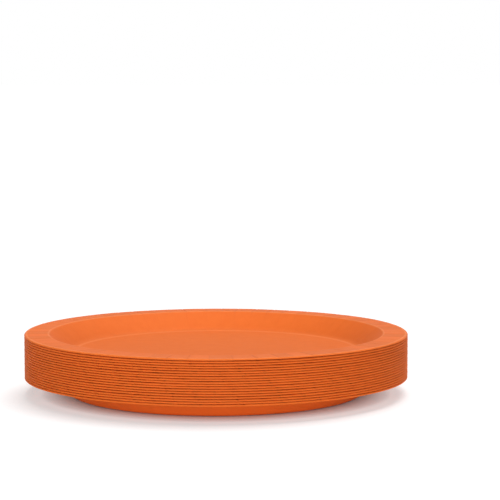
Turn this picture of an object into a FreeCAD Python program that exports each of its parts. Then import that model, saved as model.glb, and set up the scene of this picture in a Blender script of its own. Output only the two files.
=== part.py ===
import FreeCAD, Part
import math
import os

# A stack of pressed paper plates, nested one in the next.
#
# Each plate is one disc of dyed paperboard pressed between hot dies: a flat floor, a bend, a
# sloping wall, a shoulder, a flat rim, and an outer edge rolled over into a short lip that turns
# down. The surplus board at the rim is gathered into radial pleats, which show as pressed-in
# lines. In the stack, the cut edge of each lip sits on the rolled edge of the plate below.
#
# Millimetres and degrees. +Z is up, and the origin is on the stack's axis, on the surface that
# it stands on.

# Paperboard
board = 0.45

# One plate, nine inches across
plate_count = 19
plate_radius = 114.0
plate_height = 11.4
rim_width = 12.8
wall_slope = 39.0

# Radii of its curves: the bend on the top side, the shoulder and the rolled edge underneath
bend_radius = 8.0
shoulder_inside_radius = 4.55
edge_inside_radius = 0.75

# Straight stretch of the lip, from the rolled edge down to the cut
lip_length = 0.43

# Pleats pressed into the rim, each a V-shaped line
pleat_count = 60
pleat_width = 0.9
pleat_depth = 0.2
cutter_overshoot = 2.0

# How the plates lie in each other
nest_clearance = 0.03
turn_between_plates = 137.5

wall = math.radians(wall_slope)
up = math.pi / 2
down = -math.pi / 2

shoulder_radius = shoulder_inside_radius + board
edge_radius = edge_inside_radius + board
rim_start = plate_radius - rim_width

# The wall's straight stretch climbs what the bend and the shoulder leave of the height, and
# the floor reaches out to where the bend begins
wall_rise = plate_height - board - (bend_radius + shoulder_radius) * (1 - math.cos(wall))
wall_run = wall_rise / math.tan(wall)
floor_radius = rim_start - (bend_radius + shoulder_radius) * math.sin(wall) - wall_run

# Centres of the three curves in the section, as distance from the axis and height
bend_centre = (floor_radius, board + bend_radius)
shoulder_centre = (rim_start, plate_height - shoulder_radius)
edge_centre = (plate_radius - edge_radius, plate_height - edge_radius)
lip_end = edge_centre[1] - lip_length

axis_foot = FreeCAD.Vector(0, 0, 0)
axis = FreeCAD.Vector(0, 0, 1)


def point(x, z):
    return FreeCAD.Vector(x, 0, z)


def on_circle(centre, radius, angle):
    """A point of the section, at an angle from the outward direction, anticlockwise."""
    return point(centre[0] + radius * math.cos(angle), centre[1] + radius * math.sin(angle))


def arc(centre, radius, start, end):
    middle = (start + end) / 2
    return Part.Arc(
        on_circle(centre, radius, start),
        on_circle(centre, radius, middle),
        on_circle(centre, radius, end),
    ).toShape()


def outline(pieces):
    """A face inside points and arcs, with a straight edge wherever two of them don't meet."""
    edges = []
    last = None
    for piece in pieces:
        is_point = isinstance(piece, FreeCAD.Vector)
        start = piece if is_point else piece.valueAt(piece.FirstParameter)
        if last is not None and not last.isEqual(start, 1e-7):
            edges.append(Part.LineSegment(last, start).toShape())
        if is_point:
            last = piece
        else:
            edges.append(piece)
            last = piece.valueAt(piece.LastParameter)
    return Part.Face(Part.Wire(edges))


def plate_section():
    """Half of a plate's section, from the axis out along the underside and back on top."""
    return outline(
        [
            point(0, 0),
            arc(bend_centre, bend_radius + board, down, down + wall),
            arc(shoulder_centre, shoulder_inside_radius, up + wall, up),
            arc(edge_centre, edge_inside_radius, up, 0),
            point(plate_radius - board, lip_end),
            point(plate_radius, lip_end),
            arc(edge_centre, edge_radius, 0, up),
            arc(shoulder_centre, shoulder_radius, up, up + wall),
            arc(bend_centre, bend_radius, down + wall, down),
            point(0, board),
            point(0, 0),
        ]
    )


def pleat_cutter():
    """A bar with a V-shaped underside, which presses one pleat from the shoulder to the edge."""
    start = on_circle(shoulder_centre, shoulder_radius, up + wall).x
    lowest = plate_height - pleat_depth
    top = plate_height + cutter_overshoot
    half_width = pleat_width / 2 * (top - lowest) / pleat_depth
    profile = outline(
        [
            FreeCAD.Vector(start, 0, lowest),
            FreeCAD.Vector(start, half_width, top),
            FreeCAD.Vector(start, -half_width, top),
            FreeCAD.Vector(start, 0, lowest),
        ]
    )
    length = plate_radius + cutter_overshoot - start
    return profile.extrude(FreeCAD.Vector(length, 0, 0))


def pressed_plate():
    """One plate, standing on its floor at the origin, with its hollow side up."""
    plate = plate_section().revolve(axis_foot, axis, 360)
    bar = pleat_cutter()
    cutters = []
    for i in range(pleat_count):
        cutter = bar.copy()
        cutter.rotate(axis_foot, axis, (i + 0.5) * 360 / pleat_count)
        cutters.append(cutter)
    return plate.cut(cutters).Solids[0]


def nest_pitch():
    """How far each plate rises above the one below, on its lip or its wall, as first meets."""
    lip_seat = lip_length + math.sqrt(edge_radius**2 - edge_inside_radius**2)
    wall_seat = board / math.cos(wall)
    return max(lip_seat, wall_seat) + nest_clearance


def stack():
    """The plates by name, bottom one first, each turned so that no pleats line up."""
    plate = pressed_plate()
    plates = {}
    for i in range(plate_count):
        laid = plate.copy()
        laid.rotate(axis_foot, axis, i * turn_between_plates)
        laid.translate(axis * (i * nest_pitch()))
        plates[f"plate_{i + 1:02d}"] = laid
    return plates


os.makedirs("parts", exist_ok=True)
for name, shape in stack().items():
    shape.exportStep(f"parts/{name}.step")
    print(name, len(shape.Faces), "faces", round(shape.Volume, 1), "mm3", shape.isValid())
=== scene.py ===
import math

import bpy
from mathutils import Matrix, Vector


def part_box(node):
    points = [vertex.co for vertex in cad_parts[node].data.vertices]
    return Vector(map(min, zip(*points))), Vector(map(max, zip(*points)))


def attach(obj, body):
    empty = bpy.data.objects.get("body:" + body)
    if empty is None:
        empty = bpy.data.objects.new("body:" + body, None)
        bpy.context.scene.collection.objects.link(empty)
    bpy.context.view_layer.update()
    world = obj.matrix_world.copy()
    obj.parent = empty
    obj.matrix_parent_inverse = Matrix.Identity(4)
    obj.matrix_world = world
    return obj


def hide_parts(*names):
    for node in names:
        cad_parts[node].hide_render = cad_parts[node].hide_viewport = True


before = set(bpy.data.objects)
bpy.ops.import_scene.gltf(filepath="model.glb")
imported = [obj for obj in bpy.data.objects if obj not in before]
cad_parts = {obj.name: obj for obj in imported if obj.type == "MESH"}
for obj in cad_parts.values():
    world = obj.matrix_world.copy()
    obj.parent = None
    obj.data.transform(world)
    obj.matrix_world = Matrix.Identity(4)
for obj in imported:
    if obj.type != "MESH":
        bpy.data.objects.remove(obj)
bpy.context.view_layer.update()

# The camera looks at the stack from the front and a little above, from about 1.2 m away. The
# stack stands left of the middle and low in the picture, which is 500 pixels square.
MM = 0.001
PICTURE_WIDTH_PX = 500
FOCAL_LENGTH_PX = 2000
SENSOR_WIDTH_MM = 36.0
CAMERA_PLACE_MM = (20.1, -1183.7, 193.0)
CAMERA_LOOKS_DOWN_DEG = 5.21
CAMERA_SEES_FROM_M = 0.05
CAMERA_SEES_TO_M = 50.0

camera_data = bpy.data.cameras.new("camera")
camera_data.sensor_width = SENSOR_WIDTH_MM
camera_data.lens = FOCAL_LENGTH_PX * SENSOR_WIDTH_MM / PICTURE_WIDTH_PX
camera_data.clip_start = CAMERA_SEES_FROM_M
camera_data.clip_end = CAMERA_SEES_TO_M
camera = bpy.data.objects.new("camera", camera_data)
camera.location = Vector(CAMERA_PLACE_MM) * MM
camera.rotation_euler = (math.radians(90 - CAMERA_LOOKS_DOWN_DEG), 0, 0)
bpy.context.scene.collection.objects.link(camera)
bpy.context.scene.camera = camera


# The plates: each is one disc of orange dyed paperboard, pressed between hot dies. The dies turn
# up the wall, flatten the rim and roll its outer edge over into a short lip, and they gather
# the surplus board into radial pleats that no two plates share. They lie loose in each other.

# Sizes of one plate, in millimetres
BOARD = 0.45
PLATE_RADIUS = 113.9
PLATE_HEIGHT = 11.22
RIM_WIDTH = 13.9
WALL_SLOPE = math.radians(39)
BEND_RADIUS = 8.0
SHOULDER_RADIUS = 1.6
EDGE_RADIUS = 1.2
LIP_DROP = 0.78

# The cut edge: how far its face stands out, and where across the board its two corners lie
CUT_STANDS_OUT = 0.05
CUT_CORNERS = (0.15, 0.85)

# Share of a pleat that is left at the top of the wall, from where it fades down to the bend
PRESS_AT_SHOULDER = 0.2

# Where the flat rim begins, and how far the floor reaches before it bends up into the wall
RADII_TOGETHER = BEND_RADIUS + SHOULDER_RADIUS
WALL_RISE = PLATE_HEIGHT - BOARD - RADII_TOGETHER * (1 - math.cos(WALL_SLOPE))
WALL_RUN = WALL_RISE / math.tan(WALL_SLOPE)
RIM_START = PLATE_RADIUS - RIM_WIDTH
FLOOR_RADIUS = RIM_START - RADII_TOGETHER * math.sin(WALL_SLOPE) - WALL_RUN

UP = math.pi / 2
DOWN = -math.pi / 2


def plate_section(curve_steps, wall_steps, rim_steps, roll_steps):
    """Round a plate's half section: (radius, height, outward, upward, press) at each point.

    Outward and upward give the way in which the upper face looks there. Press says how much of a
    pleat the dies leave there: none on the floor, all of it on the rim, none at the cut edge.
    """
    lip_end = math.asin(1 - LIP_DROP / EDGE_RADIUS)
    edge = (PLATE_RADIUS - EDGE_RADIUS * math.cos(lip_end), PLATE_HEIGHT - EDGE_RADIUS)
    shoulder = (RIM_START, PLATE_HEIGHT - SHOULDER_RADIUS)
    bend = (FLOOR_RADIUS, BOARD + BEND_RADIUS)

    def curve(centre, radius, start, end, steps, side, press_start, press_end):
        """Points on an arc, with side 1 where the upper face looks away from the centre."""
        points = []
        for i in range(steps + 1):
            part = i / steps
            angle = start + (end - start) * part
            out, high = math.cos(angle), math.sin(angle)
            place = (centre[0] + radius * out, centre[1] + radius * high)
            press = press_start + (press_end - press_start) * part
            points.append((*place, side * out, side * high, press))
        return points

    def along(start, end, parts):
        """Points on the way between two given ones, without those two."""
        return [tuple(a + (b - a) * part for a, b in zip(start, end)) for part in parts]

    def even(steps):
        return [i / steps for i in range(1, steps)]

    def board_face(depth, floor_height):
        """The face of the board at a depth under its upper one, from the axis to the cut edge."""
        wall_foot, wall_top = DOWN + WALL_SLOPE, UP + WALL_SLOPE
        floor = [(r, floor_height, 0, 1, 0) for r in (0, FLOOR_RADIUS / 2)]
        low = curve(bend, BEND_RADIUS + depth, DOWN, wall_foot, curve_steps, -1, 0, 0)
        top = curve(
            shoulder, SHOULDER_RADIUS - depth, wall_top, UP, curve_steps, 1, PRESS_AT_SHOULDER, 1
        )
        roll = curve(edge, EDGE_RADIUS - depth, UP, lip_end, roll_steps, 1, 1, 0)
        wall = along(low[-1], top[0], even(wall_steps))
        rim = along(top[-1], roll[0], even(rim_steps))
        return floor + low + wall + top + rim + roll

    underside = board_face(BOARD, 0)
    upper = board_face(0, BOARD)
    cut_ends = []
    for r, z, out, high, press in (underside[-1], upper[-1]):
        cut_ends.append((r + CUT_STANDS_OUT * high, z - CUT_STANDS_OUT * out, out, high, press))
    cut = along(*cut_ends, CUT_CORNERS)
    return underside + cut + upper[::-1]


def section_mesh(name, points):
    """The section as loose points in metres, each with the upper face's way and the press."""
    mesh = bpy.data.meshes.new(name)
    mesh.from_pydata([(r * MM, 0, z * MM) for r, z, out, high, press in points], [], [])
    way = mesh.attributes.new("way", "FLOAT_VECTOR", "POINT")
    for i, (r, z, out, high, press) in enumerate(points):
        way.data[i].vector = (out, 0, high)
    press_share = mesh.attributes.new("press", "FLOAT", "POINT")
    for i, (r, z, out, high, press) in enumerate(points):
        press_share.data[i].value = press
    return mesh


def add(tree, kind, links=(), **settings):
    """A node with its settings, and its inputs linked to sockets or set to values.

    Where a node is given for an input, its first output is linked.
    """
    node = tree.nodes.new(kind)
    for name, value in settings.items():
        setattr(node, name, value)
    for where, value in dict(links).items():
        if isinstance(value, bpy.types.Node):
            value = value.outputs[0]
        if isinstance(value, bpy.types.NodeSocket):
            tree.links.new(value, node.inputs[where])
        else:
            node.inputs[where].default_value = value
    return node


# How strongly the columns crowd towards a crease: their even places are raised to this power
CROWDING = 2.5

# Beside each crease stands a fold: how many crease widths away, its height as a share of the
# crease's depth, and how fast it falls off, where the crease itself falls off by 1
FOLD_WIDTHS_AWAY = 1.9
FOLD_HEIGHT = 0.35
FOLD_FALLS_OFF = 0.5

# How many swells and waves lie in one plate radius: a swell is about 13 mm long, a wave 63 mm
SWELLS_IN_RADIUS = 9.0
WAVES_IN_RADIUS = 1.8
RIM_NOISE_DETAIL = 1.0

# The waves read the same noise somewhere else, so that they don't follow the swells
WAVES_PLACE_APART = (7.0, 0.0, 0.0)

# Points nearer than this are made one, which closes the seam and the poles
JOIN_WITHIN = 0.001 * MM

# A number for each thing that is drawn at random, so that no two of them draw alike
STRAY_DRAW = 1
LEAN_DRAW = 2
FOLD_SIDE_DRAW = 3
DEPTH_DRAW = 4
TONE_DRAW = 5


def pressed_plate_tree():
    """Geometry Nodes that turn a section round the axis and press the pleats into it.

    Each pleat has its own group of columns, which crowd towards its crease. A crease strays from
    its even place, leans, and has a depth of its own.
    """
    tree = bpy.data.node_groups.new("pressed_plate", "GeometryNodeTree")
    sockets = tree.interface
    sockets.new_socket("Plate", in_out="OUTPUT", socket_type="NodeSocketGeometry")
    sockets.new_socket("Section", in_out="INPUT", socket_type="NodeSocketGeometry")
    for name, kind, value in (
        ("Pleats", "NodeSocketInt", 60),
        ("Columns in a pleat", "NodeSocketInt", 8),
        ("Crease width", "NodeSocketFloat", 0.45 * MM),
        ("Deepest crease", "NodeSocketFloat", 0.15 * MM),
        ("Shallowest crease", "NodeSocketFloat", 0.03 * MM),
        ("Crease stray", "NodeSocketFloat", 0.3),
        ("Crease lean", "NodeSocketFloat", 1.2),
        ("Panel swell", "NodeSocketFloat", 0.22 * MM),
        ("Rim wave", "NodeSocketFloat", 0.2 * MM),
        ("Turn", "NodeSocketFloat", 0.0),
        ("Shift", "NodeSocketVector", (0, 0, 0)),
        ("Seed", "NodeSocketInt", 0),
    ):
        sockets.new_socket(name, in_out="INPUT", socket_type=kind).default_value = value
    sockets.new_socket("Board", in_out="INPUT", socket_type="NodeSocketMaterial")
    given = tree.nodes.new("NodeGroupInput").outputs
    section = given["Section"]
    pleats = given["Pleats"]
    in_group = given["Columns in a pleat"]

    def drawn(low, high, place, draw):
        """A random value for each place, the same on every run."""
        seed = add(tree, "FunctionNodeIntegerMath", {0: given["Seed"], 1: draw}, operation="ADD")
        links = {2: low, 3: high, "ID": place, "Seed": seed}
        return add(tree, "FunctionNodeRandomValue", links, data_type="FLOAT").outputs[1]

    # A grid with a row for each point of the section, whose first and last rows are poles, and
    # whose last column lies on its first one
    rows = add(
        tree, "GeometryNodeAttributeDomainSize", {"Geometry": section}, component="MESH"
    ).outputs["Point Count"]
    round_columns = add(
        tree, "FunctionNodeIntegerMath", {0: pleats, 1: in_group}, operation="MULTIPLY"
    )
    columns = add(tree, "FunctionNodeIntegerMath", {0: round_columns, 1: 1}, operation="ADD")
    grid = add(tree, "GeometryNodeMeshGrid", {"Vertices X": columns, "Vertices Y": rows})
    index = add(tree, "GeometryNodeInputIndex")
    row = add(tree, "FunctionNodeIntegerMath", {0: index, 1: rows}, operation="MODULO")
    column = add(tree, "FunctionNodeIntegerMath", {0: index, 1: rows}, operation="DIVIDE_FLOOR")
    column = add(
        tree, "FunctionNodeIntegerMath", {0: column, 1: round_columns}, operation="MODULO"
    )
    pleat = add(
        tree, "FunctionNodeIntegerMath", {0: column, 1: in_group}, operation="DIVIDE_FLOOR"
    )
    in_pleat = add(tree, "FunctionNodeIntegerMath", {0: column, 1: in_group}, operation="MODULO")

    # The section's place, way and press at the grid's row
    of_section = []
    for kind, value in (
        ("FLOAT_VECTOR", add(tree, "GeometryNodeInputPosition")),
        (
            "FLOAT_VECTOR",
            add(tree, "GeometryNodeInputNamedAttribute", {"Name": "way"}, data_type="FLOAT_VECTOR"),
        ),
        (
            "FLOAT",
            add(tree, "GeometryNodeInputNamedAttribute", {"Name": "press"}, data_type="FLOAT"),
        ),
    ):
        links = {"Geometry": section, "Value": value, "Index": row}
        of_section.append(add(tree, "GeometryNodeSampleIndex", links, data_type=kind))
    place, way, press = of_section
    radius, _, height = add(tree, "ShaderNodeSeparateXYZ", {0: place}).outputs
    way_out, _, way_up = add(tree, "ShaderNodeSeparateXYZ", {0: way}).outputs

    # Across a pleat's group, from -1 to 1 with the crease at 0, crowding towards the crease
    half = add(tree, "ShaderNodeMath", {0: in_group, 1: 0.5}, operation="MULTIPLY")
    halves = add(tree, "ShaderNodeMath", {0: in_pleat, 1: half}, operation="DIVIDE")
    across = add(tree, "ShaderNodeMath", {0: halves, 1: 1.0}, operation="SUBTRACT")
    side = add(tree, "ShaderNodeMath", {0: across}, operation="SIGN")
    off_middle = add(tree, "ShaderNodeMath", {0: across}, operation="ABSOLUTE")
    crowded = add(tree, "ShaderNodeMath", {0: off_middle, 1: CROWDING}, operation="POWER")
    crowded = add(tree, "ShaderNodeMath", {0: side, 1: crowded}, operation="MULTIPLY")
    step = add(tree, "ShaderNodeMath", {0: math.tau, 1: pleats}, operation="DIVIDE")
    half_step = add(tree, "ShaderNodeMath", {0: step, 1: 0.5}, operation="MULTIPLY")

    # Each crease strays from its group's middle, and leans, more so away from the rim's middle
    most_stray = add(
        tree, "ShaderNodeMath", {0: half_step, 1: given["Crease stray"]}, operation="MULTIPLY"
    )
    least_stray = add(tree, "ShaderNodeMath", {0: most_stray, 1: -1.0}, operation="MULTIPLY")
    stray = drawn(least_stray, most_stray, pleat, STRAY_DRAW)
    most_lean = given["Crease lean"]
    least_lean = add(tree, "ShaderNodeMath", {0: most_lean, 1: -1.0}, operation="MULTIPLY")
    lean = drawn(least_lean, most_lean, pleat, LEAN_DRAW)
    rim_middle = (PLATE_RADIUS - RIM_WIDTH / 2) * MM
    off_rim = add(tree, "ShaderNodeMath", {0: radius, 1: rim_middle}, operation="SUBTRACT")
    leant = add(tree, "ShaderNodeMath", {0: lean, 1: off_rim}, operation="MULTIPLY")
    leant = add(tree, "ShaderNodeMath", {0: leant, 1: press}, operation="MULTIPLY")
    strayed = add(tree, "ShaderNodeMath", {0: stray, 1: leant}, operation="ADD")

    # The column's angle, counted from its crease, with the group's ends where they were
    taken = add(tree, "ShaderNodeMath", {0: side, 1: strayed}, operation="MULTIPLY")
    room = add(tree, "ShaderNodeMath", {0: half_step, 1: taken}, operation="SUBTRACT")
    from_crease = add(tree, "ShaderNodeMath", {0: crowded, 1: room}, operation="MULTIPLY")
    middle = add(tree, "ShaderNodeMath", {0: pleat, 1: 0.5}, operation="ADD")
    middle = add(tree, "ShaderNodeMath", {0: middle, 1: step}, operation="MULTIPLY")
    angle = add(tree, "ShaderNodeMath", {0: middle, 1: strayed}, operation="ADD")
    angle = add(tree, "ShaderNodeMath", {0: angle, 1: from_crease}, operation="ADD")
    angle = add(tree, "ShaderNodeMath", {0: angle, 1: given["Turn"]}, operation="ADD")
    cosine = add(tree, "ShaderNodeMath", {0: angle}, operation="COSINE")
    sine = add(tree, "ShaderNodeMath", {0: angle}, operation="SINE")

    # A crease sinks, and the board that is folded double stands up a little on one side of it
    off_crease = add(tree, "ShaderNodeMath", {0: from_crease, 1: rim_middle}, operation="MULTIPLY")
    widths_off = add(
        tree, "ShaderNodeMath", {0: off_crease, 1: given["Crease width"]}, operation="DIVIDE"
    )
    crease = add(tree, "ShaderNodeMath", {0: widths_off, 1: widths_off}, operation="MULTIPLY")
    crease = add(tree, "ShaderNodeMath", {0: crease, 1: -1.0}, operation="MULTIPLY")
    crease = add(tree, "ShaderNodeMath", {0: crease}, operation="EXPONENT")
    fold_side = add(
        tree, "ShaderNodeMath", {0: drawn(-1.0, 1.0, pleat, FOLD_SIDE_DRAW)}, operation="SIGN"
    )
    fold_place = add(
        tree, "ShaderNodeMath", {0: fold_side, 1: FOLD_WIDTHS_AWAY}, operation="MULTIPLY"
    )
    from_fold = add(tree, "ShaderNodeMath", {0: widths_off, 1: fold_place}, operation="SUBTRACT")
    fold = add(tree, "ShaderNodeMath", {0: from_fold, 1: from_fold}, operation="MULTIPLY")
    fold = add(tree, "ShaderNodeMath", {0: fold, 1: -FOLD_FALLS_OFF}, operation="MULTIPLY")
    fold = add(tree, "ShaderNodeMath", {0: fold}, operation="EXPONENT")
    fold = add(tree, "ShaderNodeMath", {0: fold, 1: FOLD_HEIGHT}, operation="MULTIPLY")
    depth = drawn(given["Shallowest crease"], given["Deepest crease"], pleat, DEPTH_DRAW)
    pressed = add(tree, "ShaderNodeMath", {0: fold, 1: crease}, operation="SUBTRACT")
    pressed = add(tree, "ShaderNodeMath", {0: pressed, 1: depth}, operation="MULTIPLY")
    pressed = add(tree, "ShaderNodeMath", {0: pressed, 1: press}, operation="MULTIPLY")

    # Between the creases the board swells a little, unevenly on its way round
    round_place = add(tree, "ShaderNodeCombineXYZ", {0: cosine, 1: sine, 2: given["Seed"]})
    swell = add(
        tree,
        "ShaderNodeTexNoise",
        {"Vector": round_place, "Scale": SWELLS_IN_RADIUS, "Detail": RIM_NOISE_DETAIL},
    )
    swell = add(tree, "ShaderNodeMath", {0: swell, 1: 0.5}, operation="SUBTRACT")
    swell = add(
        tree, "ShaderNodeMath", {0: swell, 1: given["Panel swell"]}, operation="MULTIPLY"
    )
    swell = add(tree, "ShaderNodeMath", {0: swell, 1: press}, operation="MULTIPLY")
    moved = add(tree, "ShaderNodeMath", {0: pressed, 1: swell}, operation="ADD")
    moved_out = add(tree, "ShaderNodeMath", {0: moved, 1: way_out}, operation="MULTIPLY")
    moved_up = add(tree, "ShaderNodeMath", {0: moved, 1: way_up}, operation="MULTIPLY")
    new_radius = add(tree, "ShaderNodeMath", {0: radius, 1: moved_out}, operation="ADD")
    new_height = add(tree, "ShaderNodeMath", {0: height, 1: moved_up}, operation="ADD")

    # The whole rim waves up and down a little on its way round, most at the lip. The noise runs
    # from 0 to 1, so twice its distance from 0.5 runs from -1 to 1.
    wave_place = add(
        tree, "ShaderNodeVectorMath", {0: round_place, 1: WAVES_PLACE_APART}, operation="ADD"
    )
    wave = add(
        tree,
        "ShaderNodeTexNoise",
        {"Vector": wave_place, "Scale": WAVES_IN_RADIUS, "Detail": RIM_NOISE_DETAIL},
    )
    wave = add(tree, "ShaderNodeMath", {0: wave, 1: 0.5}, operation="SUBTRACT")
    wave_span = add(
        tree, "ShaderNodeMath", {0: given["Rim wave"], 1: 2.0}, operation="MULTIPLY"
    )
    wave = add(tree, "ShaderNodeMath", {0: wave, 1: wave_span}, operation="MULTIPLY")
    on_rim = add(
        tree,
        "ShaderNodeMapRange",
        {
            "Value": radius,
            "From Min": (RIM_START - RIM_WIDTH) * MM,
            "From Max": PLATE_RADIUS * MM,
        },
    )
    wave = add(tree, "ShaderNodeMath", {0: wave, 1: on_rim}, operation="MULTIPLY")
    new_height = add(tree, "ShaderNodeMath", {0: new_height, 1: wave}, operation="ADD")
    new_x = add(tree, "ShaderNodeMath", {0: new_radius, 1: cosine}, operation="MULTIPLY")
    new_y = add(tree, "ShaderNodeMath", {0: new_radius, 1: sine}, operation="MULTIPLY")
    new_place = add(tree, "ShaderNodeCombineXYZ", {0: new_x, 1: new_y, 2: new_height})
    shifted = add(
        tree, "ShaderNodeVectorMath", {0: new_place, 1: given["Shift"]}, operation="ADD"
    )

    # What the material reads: how deep in a crease, which it darkens as painted shade, and how
    # light the panel between two creases
    depth_share = add(
        tree, "ShaderNodeMath", {0: depth, 1: given["Deepest crease"]}, operation="DIVIDE"
    )
    pressed_share = add(tree, "ShaderNodeMath", {0: press, 1: depth_share}, operation="MULTIPLY")
    crease_share = add(
        tree, "ShaderNodeMath", {0: crease, 1: pressed_share}, operation="MULTIPLY"
    )
    past_crease = add(tree, "ShaderNodeMath", {0: across, 1: 0.0}, operation="GREATER_THAN")
    panel = add(tree, "FunctionNodeIntegerMath", {0: pleat, 1: past_crease}, operation="ADD")
    panel = add(tree, "FunctionNodeIntegerMath", {0: panel, 1: pleats}, operation="MODULO")
    panel_tone = drawn(-1.0, 1.0, panel, TONE_DRAW)
    panel_tone = add(tree, "ShaderNodeMath", {0: panel_tone, 1: press}, operation="MULTIPLY")
    stored = grid
    for attribute, value in (("crease", crease_share), ("panel", panel_tone)):
        stored = add(
            tree,
            "GeometryNodeStoreNamedAttribute",
            {"Geometry": stored, "Name": attribute, "Value": value},
            data_type="FLOAT",
            domain="POINT",
        )
    placed = add(tree, "GeometryNodeSetPosition", {"Geometry": stored, "Position": shifted})
    joined = add(
        tree, "GeometryNodeMergeByDistance", {"Geometry": placed, "Distance": JOIN_WITHIN}
    )
    smooth = add(tree, "GeometryNodeSetShadeSmooth", {"Geometry": joined})
    real = add(tree, "GeometryNodeRealizeInstances", {"Geometry": smooth})
    covered = add(
        tree, "GeometryNodeSetMaterial", {"Geometry": real, "Material": given["Board"]}
    )
    add(tree, "NodeGroupOutput", {0: covered})
    return tree


def linear(hex_colour):
    """An sRGB colour written as six hex digits, as the linear colour that a shader takes."""
    channels = [int(hex_colour[i : i + 2], 16) / 255 for i in (0, 2, 4)]
    return tuple(
        c / 12.92 if c <= 0.04045 else ((c + 0.055) / 1.055) ** 2.4 for c in channels
    ) + (1.0,)


# The dye's two shades, and what mottles them: fibres, drawn as coarse as they need to show, and
# broader clouds
DEEP_ORANGE = "E96E25"
LIGHT_ORANGE = "EE742A"
FIBRE_MM = 0.9
FIBRE_DETAIL = 3
CLOUD_MM = 6
CLOUD_DETAIL = 2
FIBRE_SHARE = 0.35
MOTTLE_FROM = 0.25
MOTTLE_TO = 0.75

# Painted highlights: radius, half width and strength of each pale ring, at the floor's edge, the
# shoulder and the roll
HIGHLIGHT_ORANGE = "FFA063"
PAINTED_HIGHLIGHT_RINGS = (
    (FLOOR_RADIUS + 0.8, 1.9, 0.3),
    (RIM_START - 0.4, 1.0, 0.35),
    (PLATE_RADIUS - 1.3, 1.0, 0.4),
)

# How much painted shade darkens a crease, and how much lighter or darker a panel may be
CREASE_SHADE_BROWN = "B8481A"
CREASE_SHADE_STRENGTH = 0.35
PANEL_TONE = 0.06

# Roughness follows the fibres between two ends. On the rim, which the dies have burnished, it is
# a little less, and that comes in over the last 2 mm before the rim starts.
FIBRE_FROM = 0.3
FIBRE_TO = 0.7
SMOOTHEST = 0.66
ROUGHEST = 0.74
RIM_BURNISH = 0.06
BURNISH_COMES_IN_MM = 2

# The fibres stand up by two hundredths of a millimetre. The gloss is matched to the real ware,
# whose clay coat is thin.
BUMP_STRENGTH = 0.25
BUMP_MM = 0.02
COATED_BOARD_IOR = 1.5
COATED_BOARD_GLOSS = 0.15


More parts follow.
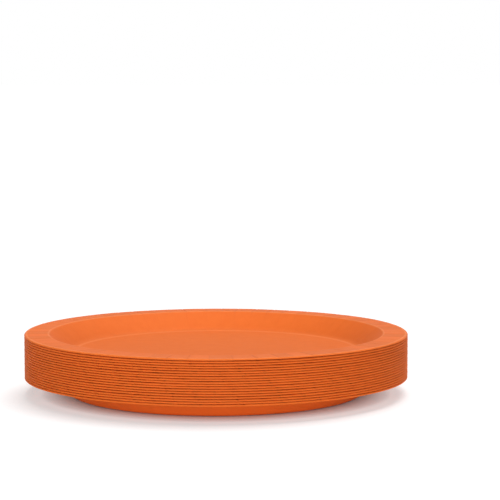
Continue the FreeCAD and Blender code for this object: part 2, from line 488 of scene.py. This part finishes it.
def dyed_paperboard():
    """Dyed, clay-coated paperboard, pressed hot: an even orange with a faint satin sheen.

    Fine fibres mottle it. The creases are darkened with painted shade, each panel between two
    creases is a little lighter or darker at random, and three rings are painted highlights:
    the floor's edge, the shoulder and the roll.
    """
    material = bpy.data.materials.new("dyed_paperboard")
    material.use_nodes = True
    tree = material.node_tree
    shader = tree.nodes["Principled BSDF"]
    place = add(tree, "ShaderNodeTexCoord").outputs["Object"]
    fibre, cloud = [
        add(
            tree,
            "ShaderNodeTexNoise",
            {"Vector": place, "Scale": 1 / (size_mm * MM), "Detail": detail},
        )
        for size_mm, detail in ((FIBRE_MM, FIBRE_DETAIL), (CLOUD_MM, CLOUD_DETAIL))
    ]
    mottle = add(
        tree, "ShaderNodeMix", {"Factor": FIBRE_SHARE, 2: cloud, 3: fibre}, data_type="FLOAT"
    )
    tone = add(
        tree,
        "ShaderNodeMapRange",
        {"Value": mottle, "From Min": MOTTLE_FROM, "From Max": MOTTLE_TO},
    )
    board = add(
        tree,
        "ShaderNodeMix",
        {"Factor": tone, 6: linear(DEEP_ORANGE), 7: linear(LIGHT_ORANGE)},
        data_type="RGBA",
    ).outputs[2]

    # The painted highlight rings, by their distance from the axis
    x, y, _ = add(tree, "ShaderNodeSeparateXYZ", {0: place}).outputs
    level_place = add(tree, "ShaderNodeCombineXYZ", {0: x, 1: y})
    from_axis = add(
        tree, "ShaderNodeVectorMath", {0: level_place}, operation="LENGTH"
    ).outputs["Value"]
    for ring_radius, half_width, share in PAINTED_HIGHLIGHT_RINGS:
        off = add(
            tree, "ShaderNodeMath", {0: from_axis, 1: ring_radius * MM}, operation="SUBTRACT"
        )
        off = add(tree, "ShaderNodeMath", {0: off}, operation="ABSOLUTE")
        on_ring = add(
            tree,
            "ShaderNodeMapRange",
            {"Value": off, "From Max": half_width * MM, "To Min": share, "To Max": 0.0},
            interpolation_type="SMOOTHSTEP",
        )
        board = add(
            tree,
            "ShaderNodeMix",
            {"Factor": on_ring, 6: board, 7: linear(HIGHLIGHT_ORANGE)},
            data_type="RGBA",
        ).outputs[2]

    # The creases, darkened with painted shade, and the panels between them, as the plate's own mesh
    # holds them
    crease = add(tree, "ShaderNodeAttribute", attribute_name="crease").outputs["Fac"]
    share = add(tree, "ShaderNodeMath", {0: crease, 1: CREASE_SHADE_STRENGTH}, operation="MULTIPLY")
    colour = add(
        tree,
        "ShaderNodeMix",
        {"Factor": share, 6: board, 7: linear(CREASE_SHADE_BROWN)},
        data_type="RGBA",
    ).outputs[2]
    panel = add(tree, "ShaderNodeAttribute", attribute_name="panel").outputs["Fac"]
    lightness = add(
        tree, "ShaderNodeMath", {0: panel, 1: PANEL_TONE, 2: 1.0}, operation="MULTIPLY_ADD"
    )
    colour = add(tree, "ShaderNodeHueSaturation", {"Value": lightness, "Color": colour})
    tree.links.new(colour.outputs[0], shader.inputs["Base Color"])

    rough = add(
        tree,
        "ShaderNodeMapRange",
        {
            "Value": fibre,
            "From Min": FIBRE_FROM,
            "From Max": FIBRE_TO,
            "To Min": SMOOTHEST,
            "To Max": ROUGHEST,
        },
    )
    burnish = add(
        tree,
        "ShaderNodeMapRange",
        {
            "Value": from_axis,
            "From Min": (RIM_START - BURNISH_COMES_IN_MM) * MM,
            "From Max": RIM_START * MM,
            "To Max": RIM_BURNISH,
        },
    )
    rough = add(tree, "ShaderNodeMath", {0: rough, 1: burnish}, operation="SUBTRACT")
    tree.links.new(rough.outputs[0], shader.inputs["Roughness"])
    bump = add(
        tree,
        "ShaderNodeBump",
        {"Height": fibre, "Strength": BUMP_STRENGTH, "Distance": BUMP_MM * MM},
    )
    tree.links.new(bump.outputs[0], shader.inputs["Normal"])
    shader.inputs["IOR"].default_value = COATED_BOARD_IOR
    shader.inputs["Specular IOR Level"].default_value = COATED_BOARD_GLOSS
    return material


def plate_piece(name, section, inputs):
    """A plate as a plain mesh, made by the tree from a section."""
    maker = bpy.data.objects.new(name + "_section", section)
    bpy.context.scene.collection.objects.link(maker)
    modifier = maker.modifiers.new("press", "NODES")
    modifier.node_group = plate_tree
    for socket in plate_tree.interface.items_tree:
        if socket.in_out == "INPUT" and socket.name in inputs:
            modifier[socket.identifier] = inputs[socket.name]
    made = maker.evaluated_get(bpy.context.evaluated_depsgraph_get())
    mesh = bpy.data.meshes.new_from_object(made)
    bpy.data.objects.remove(maker)

    # The made mesh has an empty slot before the board's, and needs only the board's
    mesh.materials.clear()
    mesh.materials.append(inputs["Board"])
    mesh.polygons.foreach_set("material_index", [0] * len(mesh.polygons))
    piece = bpy.data.objects.new(name, mesh)
    bpy.context.scene.collection.objects.link(piece)
    return piece


# Each plate is turned on from the one below, and lies a hair off the axis in a direction that
# goes round 1.7 times as fast. Their seeds leave room for each plate's own draws.
PLATE_COUNT = 19
TURN_BETWEEN_PLATES = math.radians(137.5)
OFF_AXIS_MM = 0.04
OFF_AXIS_GOES_ROUND = 1.7
SEEDS_BETWEEN_PLATES = 10

# The bottom and the top plate show a whole face, so they have more columns in each pleat
COLUMNS_BETWEEN = 8
COLUMNS_AT_ENDS = {1: 10, PLATE_COUNT: 14}

plate_tree = pressed_plate_tree()
board_material = dyed_paperboard()
fine_section = section_mesh(
    "fine_section", plate_section(curve_steps=8, wall_steps=6, rim_steps=4, roll_steps=8)
)
plain_section = section_mesh(
    "plain_section", plate_section(curve_steps=2, wall_steps=1, rim_steps=1, roll_steps=6)
)

for number in range(1, PLATE_COUNT + 1):
    node = f"plate_{number:02d}"
    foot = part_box(node)[0].z
    turn = number * TURN_BETWEEN_PLATES
    off_way = turn * OFF_AXIS_GOES_ROUND
    piece = plate_piece(
        node + "_pressed",
        fine_section if number in COLUMNS_AT_ENDS else plain_section,
        {
            "Columns in a pleat": COLUMNS_AT_ENDS.get(number, COLUMNS_BETWEEN),
            "Turn": turn,
            "Shift": (
                OFF_AXIS_MM * MM * math.cos(off_way),
                OFF_AXIS_MM * MM * math.sin(off_way),
                foot,
            ),
            "Seed": number * SEEDS_BETWEEN_PLATES,
            "Board": board_material,
        },
    )
    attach(piece, "root")
    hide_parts(node)


# The floor is one white sheet, which the stack stands on. Where it is seen directly, an even white
# glow takes the place of part of its lit white. The glow fades where something covers it closely,
# which paints a shadow, so that the floor is white in the open and its soft shadow round the
# stack's foot is partly cast and partly painted.
FLOOR_HALF_WIDTH = 20.0
FLOOR_WHITE = 0.95
FLOOR_MATT_SEEN = 0.58
FLOOR_GLOW_SEEN = 0.56
CONTACT_SHADE_REACH = 0.0115

floor_mesh = bpy.data.meshes.new("floor")
floor_mesh.from_pydata(
    [
        (-FLOOR_HALF_WIDTH, -FLOOR_HALF_WIDTH, 0),
        (FLOOR_HALF_WIDTH, -FLOOR_HALF_WIDTH, 0),
        (FLOOR_HALF_WIDTH, FLOOR_HALF_WIDTH, 0),
        (-FLOOR_HALF_WIDTH, FLOOR_HALF_WIDTH, 0),
    ],
    [],
    [(0, 1, 2, 3)],
)
floor = bpy.data.objects.new("floor", floor_mesh)
bpy.context.scene.collection.objects.link(floor)


def seen_directly(tree):
    """1 where the camera sees a surface, straight or in a gloss or a clear thing, and else 0."""
    rays = add(tree, "ShaderNodeLightPath").outputs
    seen = rays["Is Camera Ray"]
    for ray in ("Is Glossy Ray", "Is Transmission Ray"):
        seen = add(tree, "ShaderNodeMath", {0: seen, 1: rays[ray]}, operation="MAXIMUM")
    return seen


# A matt white sheet gives the eye a clean white without any sheen
floor_material = bpy.data.materials.new("matt_white_sheet")
floor_material.use_nodes = True
floor_tree = floor_material.node_tree
floor_tree.nodes.clear()
floor_seen = seen_directly(floor_tree)
floor_tone = add(
    floor_tree,
    "ShaderNodeMapRange",
    {"Value": floor_seen, "To Min": FLOOR_WHITE, "To Max": FLOOR_MATT_SEEN},
)
floor_matt = add(floor_tree, "ShaderNodeBsdfDiffuse", {"Color": floor_tone})
# Painted shadow: the glow is taken away where the floor is closely covered
openness = add(
    floor_tree, "ShaderNodeAmbientOcclusion", {"Distance": CONTACT_SHADE_REACH}
).outputs["AO"]
glow_seen = add(
    floor_tree, "ShaderNodeMapRange", {"Value": floor_seen, "To Max": FLOOR_GLOW_SEEN}
)
glow = add(floor_tree, "ShaderNodeMath", {0: glow_seen, 1: openness}, operation="MULTIPLY")
floor_glow = add(floor_tree, "ShaderNodeEmission", {"Strength": glow})
floor_both = add(floor_tree, "ShaderNodeAddShader", {0: floor_matt, 1: floor_glow})
add(floor_tree, "ShaderNodeOutputMaterial", {"Surface": floor_both})
floor_mesh.materials.append(floor_material)


# Soft even studio light: a white room all round, a broad light high up behind on the right, and
# three in front, of which the lowest reaches in under the rims.
ROOM_LIGHT = 0.15
ROOM_WHITE_SEEN = 1.0

world = bpy.data.worlds.new("white_room")
bpy.context.scene.world = world
world.use_nodes = True
world_tree = world.node_tree
room = world_tree.nodes["Background"]
room.inputs["Color"].default_value = (1, 1, 1, 1)
room_strength = add(
    world_tree,
    "ShaderNodeMapRange",
    {"Value": seen_directly(world_tree), "To Min": ROOM_LIGHT, "To Max": ROOM_WHITE_SEEN},
)
world_tree.links.new(room_strength.outputs[0], room.inputs["Strength"])

# Each light stands far away. Its row has degrees round from the front towards the right, degrees
# up from the floor, how many degrees broad it looks, and its strength.
for name, round_deg, up_deg, broad_deg, strength in (
    ("high", 150, 68, 40, 2.15),
    ("front", 0, 26, 14, 0.4),
    ("low", -15, 14, 16, 0.25),
    ("lowest", 0, 5, 7, 1.55),
):
    data = bpy.data.lights.new(name, "SUN")
    data.angle = math.radians(broad_deg)
    data.energy = strength
    light = bpy.data.objects.new(name, data)
    around = math.radians(round_deg)
    height = math.radians(up_deg)
    towards = Vector(
        (
            math.sin(around) * math.cos(height),
            -math.cos(around) * math.cos(height),
            math.sin(height),
        )
    )
    light.rotation_euler = towards.to_track_quat("Z", "Y").to_euler()
    bpy.context.scene.collection.objects.link(light)

bpy.context.scene.view_settings.view_transform = "Standard"
